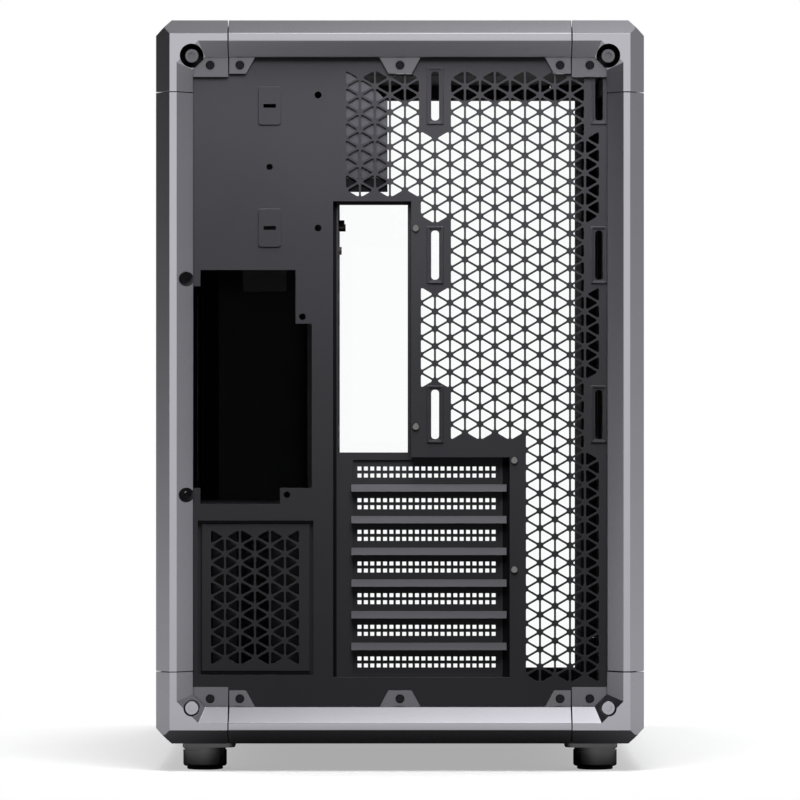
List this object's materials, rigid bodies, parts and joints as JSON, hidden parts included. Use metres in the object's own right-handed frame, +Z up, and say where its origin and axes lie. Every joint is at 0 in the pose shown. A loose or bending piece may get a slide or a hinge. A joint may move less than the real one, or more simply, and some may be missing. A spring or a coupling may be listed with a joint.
{
  "type": "computer case",
  "caption": "Dual-chamber tower case: bevelled aluminium frame with cast corners, dark steel rear panel with a triangular vent, glass side and front, round feet.",
  "frame": {"origin": "centre of the case's footprint, on the surface that it stands on", "axes": "+Z up, -Y towards the rear panel with the sockets, +X towards the board chamber's glass side"},
  "size_m": [0.312, 0.46, 0.48],
  "materials": {
    "frame_aluminium": "satin anodised",
    "rivet_aluminium": "bare",
    "mullion_aluminium": "black anodised",
    "panel_steel": "fine powder coat",
    "clear_glass": "clear, polished",
    "foot_black": "satin black",
    "pad_rubber": "matt",
    "standoff_brass": "turned",
    "screw_steel": "black zinc",
    "moulded_plastic": "moulded",
    "circuit_board": "solder mask",
    "socket_steel": "drawn"
  },
  "bodies": {
    "case": {"board_standoffs": "standoff_brass", "board_tray": "panel_steel", "bracket_rivets": "rivet_aluminium", "corner_bolts": "screw_steel", "drive_cage": "panel_steel", "drive_vent": "panel_steel", "dust_filter": "moulded_plastic", "floor_plate": "panel_steel", "foot_front_left": "foot_black", "foot_front_right": "foot_black", "foot_pads": "pad_rubber", "foot_rear_left": "foot_black", "foot_rear_right": "foot_black", "frame_beam_left_bottom": "frame_aluminium", "frame_beam_left_top": "frame_aluminium", "frame_beam_right_bottom": "frame_aluminium", "frame_beam_right_top": "frame_aluminium", "frame_corner_front_bottom_left": "frame_aluminium", "frame_corner_front_bottom_right": "frame_aluminium", "frame_corner_front_top_left": "frame_aluminium", "frame_corner_front_top_right": "frame_aluminium", "frame_corner_rear_bottom_left": "frame_aluminium", "frame_corner_rear_bottom_right": "frame_aluminium", "frame_corner_rear_top_left": "frame_aluminium", "frame_corner_rear_top_right": "frame_aluminium", "frame_post_left_front": "frame_aluminium", "frame_post_left_rear": "frame_aluminium", "frame_post_right_front": "frame_aluminium", "frame_post_right_rear": "frame_aluminium", "frame_rail_front_bottom": "frame_aluminium", "frame_rail_front_top": "frame_aluminium", "frame_rail_rear_bottom": "frame_aluminium", "frame_rail_rear_top": "frame_aluminium", "front_cover": "panel_steel", "front_mullion": "mullion_aluminium", "io_circuit": "circuit_board", "io_housing": "moulded_plastic", "psu_shelf": "panel_steel", "rear_panel": "panel_steel", "rear_panel_screws": "screw_steel", "roof_plate": "panel_steel", "slot_bracket": "panel_steel", "slot_cover_1": "panel_steel", "slot_cover_2": "panel_steel", "slot_cover_3": "panel_steel", "slot_cover_4": "panel_steel", "slot_cover_5": "panel_steel", "slot_cover_6": "panel_steel", "slot_cover_7": "panel_steel", "slot_screws": "screw_steel", "usb_a_socket_1": "socket_steel", "usb_a_socket_2": "socket_steel", "usb_c_socket": "socket_steel"},
    "side_glass": {"side_glass": "clear_glass"},
    "front_glass": {"front_glass": "clear_glass"},
    "side_panel": {"side_panel": "panel_steel"},
    "top_panel": {"top_panel": "panel_steel"},
    "power_button": {"power_button": "moulded_plastic"},
    "reset_button": {"reset_button": "moulded_plastic"}
  },
  "joints": [
    {"name": "side_glass_pull", "type": "slide", "parent": "case", "child": "side_glass", "axis": [1, 0, 0], "range_m": [0, 0.06]},
    {"name": "front_glass_pull", "type": "slide", "parent": "case", "child": "front_glass", "axis": [0, 1, 0], "range_m": [0, 0.06]},
    {"name": "side_panel_pull", "type": "slide", "parent": "case", "child": "side_panel", "axis": [-1, 0, 0], "range_m": [0, 0.06]},
    {"name": "top_panel_lift", "type": "slide", "parent": "case", "child": "top_panel", "axis": [0, 0, 1], "range_m": [0, 0.06]},
    {"name": "power_button_press", "type": "slide", "parent": "case", "child": "power_button", "axis": [0, -1, 0], "range_m": [0, 0.0015], "stiffness_N_per_m": 1200},
    {"name": "reset_button_press", "type": "slide", "parent": "case", "child": "reset_button", "axis": [0, -1, 0], "range_m": [0, 0.0012], "stiffness_N_per_m": 1500}
  ]
}
